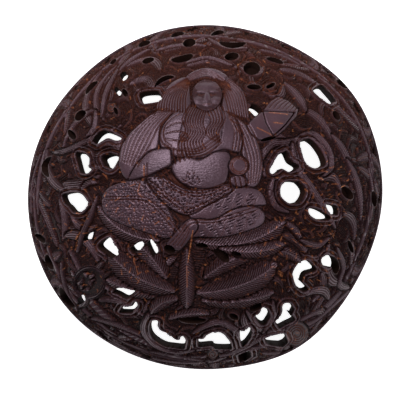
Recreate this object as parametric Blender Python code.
"""Carved coconut shell: half a shell, carved and pierced all over, lying on its rim, hollow side down.

Metres, +Z up. The rim lies on z = 0 and the shell's axis is the Z axis. +X is to the right of the carving
and +Y to its top, as one who looks down on the shell sees it.

The carving is laid out on a drawing of the shell seen from above, in drawing units with y downwards. Its
places go to a flat map on which circles on the shell stay circles, and from there to the shell.
"""

import math

import bmesh
import bpy
import numpy as np

# The shell's own sizes.
WIDTH = 0.125  # across, left to right
LENGTH = 0.121  # across, top to bottom of the carving
DEPTH = 0.060  # from the rim to the crown
WALL = 0.0042  # thickness of the shell where nothing is cut away
GROUND_DEPTH = 0.0015  # how far the ground of the carving lies below its highest parts
EDGE_ROUNDING = 0.0014  # width of the rounded shoulder of a raised form
GROOVE_WIDTH = 0.0010  # width of the cut that runs round each raised form
POCKET_FLOOR = 0.0012  # what is left of the wall under a deep pocket
FRAME_WIDTH = 0.0015  # width of the raised frame round each opening
SQUARE_WITHIN = 0.55  # within this share of the radius openings are cut square to the shell
STEEPEST_AIM = 2.6  # how far below the rim the walls of an opening at the rim aim, in radii
RIM_BAND = 0.0035  # height of the plain band along the rim
SIDE_OPENING_HEIGHT = 0.0076
SIDE_OPENING_WIDTH = 0.0050
SIDE_OPENING_GAP = 0.0016  # from the plain band up to the side openings
SIDE_OPENING_PITCH = 0.0165  # along the rim
SIDE_LEAF_WIDTH = 0.0046
SIDE_LEAF_TOP = 0.0290  # height above the rim of the tips of the side leaves
SIDE_LEAF_LEAN = 0.9  # how far their tips lean along the rim, in pitches
SIDE_LEAF_UNEVEN = (-0.5, 0.3, 0.3)  # what is added to that lean, leaf after leaf, in turn
SIDE_LEAF_BOWS = (-0.12, 0.22)  # bows of the leaves, in turn, as shares of their length
SIDE_LEAF_TAPER = 0.1  # how much wider their tips are
SIDE_OPENING_LEANS = (-0.2, 0.5)  # how the side openings lean, in turn, in radians
SIDE_OPENING_DROP = 0.35  # how far a side opening differs from an oval: narrower above, wider below
LEAF_END = 0.35  # width of a leaf's very end, as a share of its full width
FRAME_RISE = 0.8  # how much of the ground's depth the frame round an opening rises
FRAME_SLOPE = 3  # how steeply it rises
WALL_SHOWS = 1.6  # how far round an opening its wall shows on the side towards the rim
CUT_THROUGH = 1.6  # how deep the cutter of an opening reaches, in walls
CUTTER_STANDS_OUT = 2  # how far each cutter stands out of the shell, in walls
CARVING_MARGIN = 8  # how far from a form its places are looked for, in groove widths

# The drawing: its middle, and how far the shell reaches from there to the right and to the top.
MIDDLE = (205.5, 197.0)
REACH = (178.5, 173.0)

# The hand-cut outline strays from an oval: (direction in degrees, width in degrees, share of the radius).
UNEVEN = ((36, 18, 0.022), (137, 28, -0.015), (222, 22, 0.011), (300, 14, 0.018), (336, 22, -0.022))

BALL_SUBDIVISIONS = 7  # fineness of the ball before its faces are merged
FACES_OF_OUTSIDE = 3700  # about how many triangles carry the carving
HOLLOW_SEGMENTS = (36, 18)  # faces of the hollow round the axis and from pole to pole
BELOW_RIM = 0.12  # how far the ball reaches below the rim before it is cut flat, as a share of DEPTH

# Openings that go right through, as their clear part shows from above. Each is a bowed oval:
# from x, y, to x, y, bow to the left as a share of its length, width, and how much wider its end is.
CLEAR_OVALS = (
    (122.0, 78.5, 127.0, 75.5, 0.0, 2.6, 0.0),
    (116.5, 92.5, 121.5, 92.5, 0.0, 5.0, 0.0),
    (143.0, 100.2, 160.5, 98.8, 0.0, 6.8, 0.1),
    (98.0, 143.0, 122.5, 139.0, 0.22, 6.5, 0.3),
    (83.0, 153.5, 90.0, 174.0, -0.05, 6.0, -0.1),
    (112.5, 169.0, 113.5, 155.5, 0.0, 9.5, 0.5),
    (248.5, 110.5, 257.5, 115.0, 0.0, 3.2, -0.2),
    (311.5, 92.0, 325.0, 99.0, 0.1, 5.0, -0.4),
    (307.5, 209.5, 325.0, 217.5, 0.06, 9.0, 0.0),
    (325.0, 204.5, 332.5, 214.5, 0.0, 5.5, -0.1),
    (329.0, 255.5, 324.5, 267.0, 0.0, 6.0, 0.1),
    (248.5, 325.5, 241.5, 341.0, -0.22, 4.6, 0.1),
    (263.5, 337.5, 284.0, 334.0, 0.0, 8.0, 0.3),
    (238.5, 357.0, 249.5, 349.5, 0.0, 5.0, 0.0),
    (155.0, 319.5, 185.5, 340.5, -0.30, 7.0, -0.1),
    (124.0, 306.5, 137.0, 303.0, -0.12, 3.4, 0.2),
    (117.0, 287.0, 134.5, 291.5, 0.0, 6.5, 0.5),
    (119.5, 254.5, 105.5, 237.5, 0.0, 9.0, 0.5),
    (153.5, 239.5, 156.5, 251.5, 0.0, 3.2, 0.0),
    (89.5, 233.0, 93.0, 240.5, 0.0, 3.4, 0.0),
    (84.0, 294.5, 86.5, 301.0, 0.0, 2.6, 0.0),
)

# Openings that go right through and have a shape of their own: points round the clear part.
CLEAR_SHAPES = (
    ((69, 197), (77, 192.5), (88, 201), (87, 207), (80.5, 212.5), (75, 206)),
    ((299, 143), (307, 145), (316, 156), (319, 166), (313, 168), (304, 159)),
    ((280, 154), (285, 163), (293, 168), (289, 172), (281, 168.5), (273, 174), (269.5, 171), (274, 161)),
    ((285, 182), (293, 183), (299.5, 191), (297, 199), (290, 203.5), (281, 196), (281, 187)),
    ((313, 268), (307, 261), (298, 264), (292.5, 275), (297, 286), (305, 286), (298, 279), (301, 271)),
    ((286, 303), (290, 303), (290, 315), (276, 321.5), (275, 319), (283, 312)),
    ((263, 306), (267, 308), (262, 319), (255, 316)),
    ((199, 339), (208, 336), (219, 332), (228, 337), (230.5, 344), (215, 343)),
    ((135, 245), (142, 241), (144.5, 243.5), (140, 250)),
)

# Openings near the side of the shell, outlined as they are cut. They slant away and let nothing through
# from above. The values are those of CLEAR_OVALS.
SLANTING_OVALS = (
    (211.0, 35.0, 224.0, 31.5, 0.1, 5.0, 0.2),
    (219.0, 42.0, 246.0, 42.5, -0.12, 6.5, 0.0),
    (138.0, 45.0, 150.0, 41.0, 0.1, 6.0, 0.0),
    (171.0, 36.0, 184.0, 32.5, 0.1, 5.0, 0.0),
    (84.5, 93.0, 96.5, 80.0, 0.1, 5.5, 0.0),
    (109.0, 62.0, 115.0, 57.0, 0.0, 4.0, 0.0),
    (67.5, 129.5, 75.0, 139.0, 0.0, 6.5, 0.1),
    (51.0, 156.5, 49.0, 177.0, -0.28, 7.0, 0.1),
    (34.0, 235.0, 45.0, 243.0, 0.1, 6.0, 0.1),
    (47.0, 254.5, 54.0, 269.0, -0.1, 7.0, 0.0),
    (61.0, 287.0, 76.0, 307.0, -0.1, 7.5, 0.0),
    (374.0, 191.0, 377.0, 207.0, 0.0, 6.0, 0.0),
    (335.0, 81.0, 345.0, 89.5, 0.0, 5.0, 0.0),
    (266.0, 58.5, 283.0, 64.0, 0.05, 5.0, 0.0),
    (331.0, 257.0, 337.0, 275.0, 0.12, 9.0, 0.0),
)

# Deep pockets, which stop short of the inside: bowed ovals again.
POCKETS = (
    (155.0, 87.5, 174.5, 77.5, 0.16, 5.0, 0.1),
    (224.5, 58.0, 238.5, 55.5, 0.0, 8.5, 0.0),
    (243.0, 69.0, 260.0, 69.0, 0.0, 14.0, 0.0),
    (246.5, 87.5, 260.5, 88.0, 0.0, 5.5, 0.0),
    (265.5, 88.5, 274.5, 84.0, 0.0, 4.5, 0.0),
    (183.0, 44.0, 195.5, 41.0, 0.0, 9.0, 0.0),
    (142.0, 61.5, 154.0, 58.5, 0.0, 6.0, 0.0),
    (171.0, 60.0, 193.0, 55.0, -0.08, 7.5, 0.1),
    (75.5, 120.0, 85.0, 111.0, 0.1, 9.0, 0.0),
    (122.5, 88.5, 127.0, 96.5, 0.0, 5.0, 0.0),
    (114.0, 107.0, 117.5, 114.5, 0.0, 4.0, 0.0),
    (331.0, 112.5, 337.0, 121.0, 0.0, 6.0, 0.0),
    (341.5, 187.0, 352.5, 199.0, 0.0, 9.0, 0.0),
    (164.5, 246.0, 175.5, 251.0, 0.0, 8.5, 0.0),
    (196.0, 245.5, 208.0, 246.5, 0.1, 6.0, 0.0),
    (213.5, 249.0, 228.0, 261.0, 0.05, 9.0, 0.1),
    (231.0, 251.0, 241.0, 255.5, 0.0, 5.5, 0.0),
    (176.5, 317.5, 206.5, 319.0, -0.06, 6.0, 0.1),
    (229.0, 313.5, 238.0, 318.0, 0.0, 6.0, 0.0),
    (249.0, 308.5, 261.0, 303.5, 0.0, 7.0, 0.0),
    (259.5, 141.5, 275.5, 137.5, 0.0, 3.5, 0.0),
    (350.0, 241.0, 355.5, 254.0, 0.0, 4.5, 0.0),
)

# Raised leaves, stems and scrolls, the lowest first. Each is a bowed band on the shell: from x, y, to x, y,
# bow to the left as a share of its length, width in millimetres, and how much wider its end is.
LEAVES = (
    (100.0, 70.0, 96.0, 128.0, -0.18, 3.6, 0.0),
    (116.0, 64.0, 104.0, 120.0, -0.22, 3.0, 0.0),
    (92.0, 110.0, 62.0, 150.0, -0.20, 3.4, -0.3),
    (62.0, 152.0, 122.0, 125.0, -0.06, 2.8, 0.0),
    (46.0, 150.0, 64.0, 190.0, -0.15, 4.0, 0.0),
    (60.0, 200.0, 64.0, 238.0, 0.15, 4.5, 0.0),
    (100.0, 176.0, 64.0, 184.0, 0.10, 4.5, 0.2),
    (98.0, 146.0, 122.0, 150.0, 0.30, 5.5, 0.0),
    (72.0, 216.0, 96.0, 226.0, -0.2, 3.6, 0.0),
    (66.0, 236.0, 100.0, 262.0, 0.25, 4.0, 0.0),
    (104.0, 262.0, 112.0, 290.0, -0.40, 3.0, 0.0),
    (80.0, 268.0, 84.0, 296.0, 0.40, 3.0, 0.0),
    (70.0, 250.0, 80.0, 306.0, 0.25, 3.4, 0.0),
    (66.0, 318.0, 150.0, 362.0, 0.12, 5.0, 0.0),
    (92.0, 318.0, 150.0, 340.0, 0.15, 3.6, 0.0),
    (100.0, 300.0, 148.0, 318.0, 0.20, 3.4, 0.0),
    (150.0, 352.0, 205.0, 362.0, 0.08, 4.0, 0.0),
    (196.0, 351.0, 222.0, 352.0, 0.30, 3.0, 0.0),
    (231.0, 350.0, 200.0, 364.0, 0.10, 4.0, 0.0),
    (262.0, 331.0, 231.0, 350.0, 0.06, 4.6, 0.0),
    (310.0, 318.0, 262.0, 331.0, 0.08, 5.0, 0.0),
    (348.0, 288.0, 310.0, 318.0, 0.06, 5.5, 0.0),
    (236.0, 320.0, 262.0, 331.0, -0.30, 3.0, 0.0),
    (246.0, 310.0, 258.0, 330.0, -0.20, 3.4, 0.0),
    (272.0, 306.0, 262.0, 330.0, 0.15, 3.4, 0.0),
    (286.0, 326.0, 306.0, 336.0, 0.55, 3.6, 0.0),
    (306.0, 338.0, 288.0, 342.0, 0.45, 3.0, 0.0),
    (262.0, 352.0, 310.0, 340.0, -0.10, 4.0, 0.0),
    (330.0, 244.0, 344.0, 284.0, -0.22, 4.2, 0.0),
    (322.0, 274.0, 312.0, 302.0, 0.25, 4.2, 0.0),
    (300.0, 296.0, 330.0, 300.0, 0.20, 3.6, 0.0),
    (289.0, 143.0, 298.0, 170.0, 0.05, 2.6, 0.0),
    (298.0, 170.0, 336.0, 232.0, 0.06, 3.0, 0.0),
    (266.0, 150.0, 288.0, 143.0, 0.45, 2.6, 0.0),
    (298.0, 138.0, 326.0, 168.0, 0.30, 2.6, 0.0),
    (276.0, 178.0, 276.0, 206.0, -0.20, 2.4, 0.0),
    (300.0, 110.0, 330.0, 140.0, 0.15, 4.0, 0.0),
    (330.0, 136.0, 352.0, 180.0, 0.12, 4.2, 0.0),
    (346.0, 160.0, 362.0, 220.0, 0.10, 4.2, 0.0),
    (320.0, 180.0, 340.0, 190.0, 0.30, 3.6, 0.0),
    (300.0, 232.0, 332.0, 238.0, -0.25, 3.6, 0.0),
    (284.0, 236.0, 306.0, 252.0, 0.15, 4.6, 0.0),
    (344.0, 214.0, 356.0, 240.0, 0.20, 4.0, 0.0),
    (238.0, 76.0, 264.0, 74.0, 0.48, 2.6, 0.0),
    (264.0, 66.0, 238.0, 66.0, 0.48, 2.6, 0.0),
    (262.0, 92.0, 282.0, 86.0, -0.42, 3.0, 0.0),
    (280.0, 70.0, 316.0, 86.0, 0.12, 4.4, 0.0),
    (284.0, 84.0, 304.0, 112.0, 0.10, 4.0, 0.0),
    (212.0, 40.0, 246.0, 50.0, -0.20, 3.0, 0.0),
    (156.0, 50.0, 206.0, 46.0, 0.10, 3.6, 0.0),
    (124.0, 66.0, 160.0, 70.0, 0.30, 4.0, 0.0),
    (130.0, 84.0, 152.0, 88.0, 0.35, 4.4, 0.0),
    (118.0, 70.0, 150.0, 48.0, 0.10, 3.4, 0.0),
    (188.0, 66.0, 236.0, 68.0, 0.20, 5.0, 0.0),
    (260.0, 50.0, 300.0, 66.0, 0.10, 3.6, 0.0),
)

# Raised fronds below the figure, with the width in millimetres.
FRONDS = (
    (172.0, 288.0, 116.0, 256.0, 0.06, 9.0, 0.2),
    (168.0, 282.0, 126.0, 236.0, -0.04, 6.0, 0.1),
    (168.0, 292.0, 112.0, 278.0, 0.05, 6.0, 0.0),
    (202.0, 290.0, 270.0, 266.0, -0.06, 9.0, 0.2),
    (204.0, 282.0, 262.0, 252.0, 0.04, 6.0, 0.1),
    (204.0, 298.0, 268.0, 290.0, -0.05, 7.0, 0.1),
    (272.0, 250.0, 300.0, 262.0, 0.10, 5.0, 0.0),
    (158.0, 238.0, 100.0, 208.0, 0.10, 5.5, 0.1),
    (196.0, 240.0, 281.0, 224.0, -0.12, 6.5, 0.4),
    (222.0, 246.0, 282.0, 243.0, -0.08, 4.5, 0.3),
    (152.0, 310.0, 176.0, 298.0, 0.10, 4.6, 0.0),
    (170.0, 316.0, 206.0, 312.0, 0.10, 4.2, 0.0),
    (187.0, 254.0, 187.0, 300.0, 0.0, 6.0, 0.2),
)

# Rounded parts of the figure, the lowest first: points round each part. The figure is a seated, robed and
# bearded man with a round object in one hand.
LEFT_CLOAK = ((182, 108), (160, 110), (140, 124), (124, 142), (119, 163), (129, 180), (147, 164), (158, 148),
              (163, 124))
RIGHT_CLOAK = ((222, 110), (240, 120), (252, 133), (260, 150), (262, 170), (257, 185), (247, 186), (243, 165),
               (238, 140))
CHEST = ((182, 110), (167, 121), (160, 136), (163, 150), (180, 158), (205, 158), (222, 150), (240, 152),
         (240, 130), (226, 112))
LEFT_KNEE = ((103, 197), (112, 186), (136, 180), (150, 184), (165, 202), (177, 228), (168, 238), (146, 232),
             (118, 222), (105, 212))
RIGHT_THIGH = ((190, 214), (212, 202), (236, 188), (258, 190), (266, 204), (254, 206), (234, 209), (214, 219),
               (196, 220))
APRON = ((147, 179), (165, 178), (190, 190), (228, 184), (231, 192), (208, 205), (187, 215), (164, 203))
RIGHT_SHIN = ((175, 229), (194, 219), (214, 219), (234, 209), (253, 206), (264, 213), (262, 224), (246, 231),
              (220, 237), (194, 237), (180, 243))
BELLY = ((172, 166), (186, 157), (200, 160), (216, 152), (229, 154), (229, 168), (224, 184), (208, 189),
         (190, 187), (177, 179))
LEFT_FOREARM = ((130, 180), (137, 166), (146, 154), (165, 149), (182, 153), (186, 158), (170, 167),
                (150, 176))
BODY_SHAPES = (LEFT_CLOAK, RIGHT_CLOAK, CHEST, LEFT_KNEE, RIGHT_THIGH, APRON, RIGHT_SHIN, BELLY, LEFT_FOREARM)

# The head with its cap, the hair beside it, the hand with the round object, and the foot: bowed ovals.
HEAD_OVALS = (
    (184.0, 84.0, 161.0, 104.0, 0.10, 12.0, 0.0),
    (230.0, 86.0, 243.0, 114.0, 0.10, 12.0, 0.0),
    (207.0, 72.0, 207.0, 115.0, 0.0, 44.0, 0.0),
    (183.0, 83.0, 232.0, 85.0, 0.22, 10.0, 0.0),
    (229.0, 180.0, 247.0, 183.0, 0.0, 12.0, 0.0),
    (228.0, 166.5, 248.0, 166.5, 0.0, 19.5, 0.0),
    (176.0, 244.0, 196.0, 222.0, 0.0, 9.0, 0.3),
)

# The fan of smooth facets beside the head: points round it.
FAN_SHAPE = ((246, 126), (262, 112), (276, 97), (297, 111), (289, 124), (276, 137), (262, 141), (254, 138))


def unit(x, y):
    """The place on the drawing as x + iy, with y upwards and the shell's edge at 1."""
    return (x - MIDDLE[0]) / REACH[0] + 1j * (MIDDLE[1] - y) / REACH[1]


def on_map(seen):
    """The place on the flat map of a place on the drawing. The shell's edge is at 1 on both."""
    across = np.minimum(np.abs(seen), 0.9995)
    return seen / (1 + np.sqrt(1 - across**2))


def seen_from_above(place):
    """The place on the drawing of a place on the flat map."""
    return 2 * place / (1 + np.abs(place) ** 2)


def shell_scale(place):
    """How many metres on the shell one unit of the flat map is, at a place on the map."""
    return WIDTH / (1 + np.abs(place) ** 2)


def outline_share(angle):
    """How far the hand-cut outline lies from the middle, as a share of the oval's radius."""
    share = np.ones_like(angle)
    for direction, width, amount in UNEVEN:
        off = (np.degrees(angle) - direction + 180) % 360 - 180
        share += amount * np.exp(-((off / width) ** 2))
    return share


def on_shell(place):
    """(x, y, z) on the uncarved outside of the shell, in metres, of places on the flat map."""
    seen = seen_from_above(place)
    level = np.abs(seen) ** 2
    even = 1 + level * (outline_share(np.angle(place)) - 1)
    height = (1 - np.abs(place) ** 2) / (1 + np.abs(place) ** 2)
    return np.stack([seen.real * even * WIDTH / 2, seen.imag * even * LENGTH / 2, height * DEPTH], axis=-1)


def bowed(start, end, bow, count, rounded=False):
    """(places from start to end, how far along each is from 0 to 1), bowed to the left."""
    along = np.linspace(0, 1, count)
    if rounded:
        along = (1 - np.cos(math.pi * along)) / 2
    return start + (end - start) * (along + 4j * bow * along * (1 - along)), along


def oval_outline(row, count=8):
    """Places round a bowed oval of the drawing, anticlockwise."""
    x0, y0, x1, y1, bow, width, taper = row
    spine, along = bowed(unit(x0, y0), unit(x1, y1), bow, count // 2 + 1, rounded=True)
    ahead = np.gradient(spine)
    side = 1j * ahead / np.abs(ahead)
    half = width / REACH[0] * np.sqrt(along * (1 - along)) * (1 + taper * (2 * along - 1))
    right, left = spine - side * half, spine + side * half
    return np.concatenate([right[:-1], left[:0:-1]])


def smooth_outline(points, steps=2):
    """Places round a closed smooth line through points of the drawing, anticlockwise."""
    corners = np.array([unit(x, y) for x, y in points])
    line = []
    for i in range(len(corners)):
        before, here, after, beyond = (corners[(i + k) % len(corners)] for k in (-1, 0, 1, 2))
        for t in np.arange(steps) / steps:
            line.append(
                here
                + t * (after - before) / 2
                + t**2 * (2 * before - 5 * here + 4 * after - beyond) / 2
                + t**3 * (3 * here - before - 3 * after + beyond) / 2
            )
    line = np.array(line)
    area = (line.conj() * np.roll(line, -1)).imag.sum()
    return line if area > 0 else line[::-1]


def aim_depth(seen):
    """How far below the rim an opening's walls aim, as a share of the radius. Far out they stand steeper."""
    return STEEPEST_AIM * max(0.0, abs(seen) - SQUARE_WITHIN) / (1 - SQUARE_WITHIN)


def cut_outline(clear):
    """The outline on the outside of an opening whose clear part, seen from above, has the outline given.

    An opening is cut nearly square to the shell, so its wall shows on the side towards the rim.
    """
    middle = clear.mean()
    far = abs(middle)
    height = math.sqrt(1 - far**2)
    lean = math.atan2(far, height + aim_depth(middle))
    shift = 2 * WALL / WIDTH * math.sin(lean) / math.cos(math.asin(far) - lean)
    ahead = np.roll(clear, -1) - np.roll(clear, 1)
    outward = -1j * ahead / np.abs(ahead)
    away = clear / np.abs(clear)
    facing = np.clip((outward * away.conj()).real * WALL_SHOWS, 0, 1)
    return clear + facing * shift * away


def at_height(height):
    """How far from the middle of the flat map the shell is height metres above the rim."""
    return math.tan((math.pi / 2 - math.asin(min(0.95, height / DEPTH))) / 2)


def side_count():
    """How many openings fit along the rim."""
    return int(math.pi * (WIDTH + LENGTH) / 2 / SIDE_OPENING_PITCH)


def side_openings():
    """Outlines on the flat map of the slanted openings in a row above the plain band."""
    count = side_count()
    distance = at_height(RIM_BAND + SIDE_OPENING_GAP + SIDE_OPENING_HEIGHT / 2)
    outlines = []
    for i in range(count):
        middle = distance * np.exp(2j * math.pi * i / count)
        turn = middle / abs(middle) / shell_scale(middle)
        lean = SIDE_OPENING_LEANS[i % 2]
        long_half = turn * np.exp(1j * lean) * SIDE_OPENING_HEIGHT / 2
        wide_half = turn * np.exp(1j * lean) * 1j * SIDE_OPENING_WIDTH / 2
        angle = np.linspace(0, 2 * math.pi, 6, endpoint=False)
        drop = 1 - SIDE_OPENING_DROP * np.cos(angle)
        outlines.append(middle + long_half * np.cos(angle) + wide_half * np.sin(angle) * drop)
    return outlines


def openings():
    """(openings, pockets), each as (outline on the flat map, how far below the rim its walls aim)."""
    clear = [oval_outline(row) for row in CLEAR_OVALS] + [smooth_outline(points) for points in CLEAR_SHAPES]
    through = [(on_map(cut_outline(outline)), aim_depth(outline.mean())) for outline in clear]
    through += [(on_map(oval_outline(row, 6)), 0.0) for row in SLANTING_OVALS]
    through += [(outline, 0.0) for outline in side_openings()]
    pockets = [(on_map(oval_outline(row, 6)), 0.0) for row in POCKETS]
    return through, pockets


def depth_inside(places, outline):
    """Metres that each place lies inside a closed outline of the map, and below 0 outside it."""
    nearest = np.full(places.shape, np.inf)
    winding = np.zeros(places.shape)
    for here, after in zip(outline, np.roll(outline, -1)):
        edge = after - here
        share = np.clip(((places - here) * edge.conjugate()).real / abs(edge) ** 2, 0, 1)
        nearest = np.minimum(nearest, np.abs(places - here - share * edge))
        winding += np.angle((after - places) / (here - places))
    scale = shell_scale(outline.mean())
    return np.where(np.abs(winding) > math.pi, nearest, -nearest) * scale


def side_leaves():
    """Bands round the side of the shell, which rise between the side openings and lean over them."""
    count = side_count()
    low, high = at_height(RIM_BAND), at_height(SIDE_LEAF_TOP)
    step = 2 * math.pi / count
    leaves = []
    for i in range(count):
        reach = SIDE_LEAF_LEAN + SIDE_LEAF_UNEVEN[i % 3]
        start = low * np.exp(1j * step * (i + 0.5))
        end = high * np.exp(1j * step * (i + 0.5 + reach))
        leaves.append((start, end, SIDE_LEAF_BOWS[i % 2], SIDE_LEAF_WIDTH, SIDE_LEAF_TAPER))
    return leaves


def leaves_on_map():
    """Each leaf and frond as (start, end, bow, width in metres, taper), the lowest first."""
    drawn = [(on_map(unit(*row[:2])), on_map(unit(*row[2:4])), row[4], row[5] / 1000, row[6])
             for row in LEAVES + FRONDS]
    return side_leaves() + drawn


def depth_in_band(places, band):
    """Metres that each place of the map lies inside a bowed band, and below 0 outside it."""
    start, end, bow, width, taper = band
    spine, along = bowed(start, end, bow, 9)
    full = width / 2 * (1 + taper * (2 * along - 1))
    half = full * (LEAF_END + (1 - LEAF_END) * np.sqrt(np.sin(math.pi * along)))
    best = np.full(places.shape, -np.inf)
    for k in range(len(spine) - 1):
        edge = spine[k + 1] - spine[k]
        share = np.clip(((places - spine[k]) * edge.conjugate()).real / abs(edge) ** 2, 0, 1)
        off = np.abs(places - spine[k] - share * edge) * shell_scale(spine[k])
        best = np.maximum(best, half[k] + share * (half[k + 1] - half[k]) - off)
    return best


def near(places, outline, margin):
    """Which places are close enough to an outline to be shaped by it."""
    middle = outline.mean()
    reach = np.abs(outline - middle).max() + margin / shell_scale(middle)
    return np.flatnonzero(np.abs(places - middle) < reach)


def raise_form(sunk, where, inside):
    """Lifts a form out of the ground, with a rounded shoulder and a groove round it. sunk is in metres."""
    over = np.clip(inside / EDGE_ROUNDING, 0, 1)
    shoulder = GROUND_DEPTH * (1 - over) ** 2
    groove = (inside <= 0) & (inside > -GROOVE_WIDTH)
    sunk[where] = np.where(inside > 0, shoulder, np.where(groove, GROUND_DEPTH, sunk[where]))


def carved_depth(places):
    """How far the carved surface lies below the uncarved shell, in metres, at places on the flat map."""
    sunk = np.full(places.shape, GROUND_DEPTH)
    through, pockets = openings()
    for outline, _ in through + pockets:
        where = near(places, outline, 2 * FRAME_WIDTH)
        frame = FRAME_WIDTH / 2 - np.abs(depth_inside(places[where], outline) + FRAME_WIDTH / 2)
        rise = np.clip(FRAME_SLOPE * frame / FRAME_WIDTH, 0, FRAME_RISE)
        sunk[where] = np.minimum(sunk[where], GROUND_DEPTH * (1 - rise))
    margin = CARVING_MARGIN * GROOVE_WIDTH
    for band in leaves_on_map():
        spine, _ = bowed(*band[:3], 9)
        where = near(places, spine, margin)
        raise_form(sunk, where, depth_in_band(places[where], band))
    shapes = [smooth_outline(points) for points in BODY_SHAPES]
    shapes += [oval_outline(row, 20) for row in HEAD_OVALS]
    shapes.append(smooth_outline(FAN_SHAPE, 1))
    for shape in shapes:
        outline = on_map(shape)
        where = near(places, outline, margin)
        raise_form(sunk, where, depth_inside(places[where], outline))
    height = on_shell(places)[..., 2]
    band = np.clip((RIM_BAND + EDGE_ROUNDING - height) / EDGE_ROUNDING, 0, 1)
    return np.where(band > 0, GROUND_DEPTH * (1 - band) ** 2, sunk)


def new_object(name, mesh, collection):
    thing = bpy.data.objects.new(name, mesh)
    collection.objects.link(thing)
    return thing


def new_collection(name):
    collection = bpy.data.collections.new(name)
    bpy.context.scene.collection.children.link(collection)
    return collection


def mesh_of(bm, name):
    mesh = bpy.data.meshes.new(name)
    bm.to_mesh(mesh)
    bm.free()
    return mesh


def hide_cutter(thing):
    thing.hide_render = True
    thing.display_type = "WIRE"
    return thing


def coconut_material():
    material = bpy.data.materials.new("coconut shell")
    material.use_nodes = True
    shader = material.node_tree.nodes["Principled BSDF"]
    shader.inputs["Base Color"].default_value = (0.052, 0.027, 0.021, 1)
    shader.inputs["Roughness"].default_value = 0.42
    return material


def carved_outside():
    """The solid ball whose upper half carries the carving. It reaches a little below the rim."""
    bm = bmesh.new()
    bmesh.ops.create_icosphere(bm, subdivisions=BALL_SUBDIVISIONS, radius=1)
    low = [v for v in bm.verts if v.co.z < -BELOW_RIM]
    bmesh.ops.delete(bm, geom=low, context="VERTS")
    bmesh.ops.holes_fill(bm, edges=[e for e in bm.edges if e.is_boundary])
    bmesh.ops.recalc_face_normals(bm, faces=bm.faces)
    points = np.array([v.co[:] for v in bm.verts])
    level = np.maximum(points[:, 2], 0)
    places = (points[:, 0] + 1j * points[:, 1]) / (1 + level)
    places /= np.maximum(np.abs(places), 1)
    outside = on_shell(places)
    inward = points * [1, 1, 0] + np.stack([0 * level, 0 * level, level], axis=1)
    inward /= np.linalg.norm(inward, axis=1)[:, None]
    carved = outside - inward * carved_depth(places)[:, None]
    carved[:, 2] = np.where(points[:, 2] < 0, points[:, 2] * DEPTH, carved[:, 2])
    for vert, place in zip(bm.verts, carved):
        vert.co = place
    return mesh_of(bm, "carved outside")


def hollow_cutter(collection):
    """The room inside the shell."""
    bm = bmesh.new()
    around, upward = HOLLOW_SEGMENTS
    bmesh.ops.create_uvsphere(bm, u_segments=around, v_segments=upward, radius=1)
    for vert in bm.verts:
        x, y, z = vert.co
        share = float(outline_share(np.array([math.atan2(y, x)]))[0])
        even = 1 + (x * x + y * y) * (share - 1)
        vert.co = (x * even * (WIDTH / 2 - WALL), y * even * (LENGTH / 2 - WALL), z * (DEPTH - WALL))
    return hide_cutter(new_object("hollow", mesh_of(bm, "hollow"), collection))


def rim_cutter(collection):
    """The block that cuts the rim flat."""
    bm = bmesh.new()
    bmesh.ops.create_cube(bm, size=1)
    bmesh.ops.scale(bm, vec=(2 * WIDTH, 2 * LENGTH, DEPTH), verts=bm.verts)
    bmesh.ops.translate(bm, vec=(0, 0, -DEPTH / 2), verts=bm.verts)
    return hide_cutter(new_object("rim plane", mesh_of(bm, "rim plane"), collection))


def opening_cutter(opening, name, depth, collection):
    """A plug whose walls aim at a point on the axis, and which reaches depth metres into the wall."""
    outline, aim = opening
    outside = on_shell(outline)
    square = outside / np.linalg.norm(outside, axis=1)[:, None]
    along = outside + [0, 0, aim * WIDTH / 2]
    along /= np.linalg.norm(along, axis=1)[:, None]
    along /= (along * square).sum(axis=1)[:, None]
    bm = bmesh.new()
    lid = bm.faces.new([bm.verts.new(p) for p in outside + CUTTER_STANDS_OUT * WALL * along])
    walls = bmesh.ops.extrude_face_region(bm, geom=[lid])
    bottom = [v for v in walls["geom"] if isinstance(v, bmesh.types.BMVert)]
    for vert, place in zip(bottom, outside - depth * along):
        vert.co = place
    bmesh.ops.recalc_face_normals(bm, faces=bm.faces)
    return hide_cutter(new_object(name, mesh_of(bm, name), collection))


def subtract(thing, name, cutter):
    """Cuts one object, or all those of a collection, from thing."""
    modifier = thing.modifiers.new(name, "BOOLEAN")
    modifier.operation = "DIFFERENCE"
    modifier.solver = "EXACT"
    if isinstance(cutter, bpy.types.Collection):
        modifier.operand_type = "COLLECTION"
        modifier.collection = cutter
    else:
        modifier.object = cutter


def build():
    for thing in list(bpy.data.objects):
        bpy.data.objects.remove(thing)
    parts = new_collection("carved coconut shell")
    cutters = new_collection("cutters")
    plugs = new_collection("opening cutters")
    shell = new_object("coconut_shell", carved_outside(), parts)
    shell.data.materials.append(coconut_material())
    thin = shell.modifiers.new("fewer faces", "DECIMATE")
    thin.ratio = FACES_OF_OUTSIDE / len(shell.data.polygons)
    subtract(shell, "hollow out", hollow_cutter(cutters))
    subtract(shell, "flat rim", rim_cutter(cutters))
    through, pockets = openings()
    for i, opening in enumerate(through):
        opening_cutter(opening, f"opening {i + 1}", CUT_THROUGH * WALL, plugs)
    for i, pocket in enumerate(pockets):
        opening_cutter(pocket, f"pocket {i + 1}", WALL - POCKET_FLOOR, plugs)
    subtract(shell, "openings", plugs)


build()
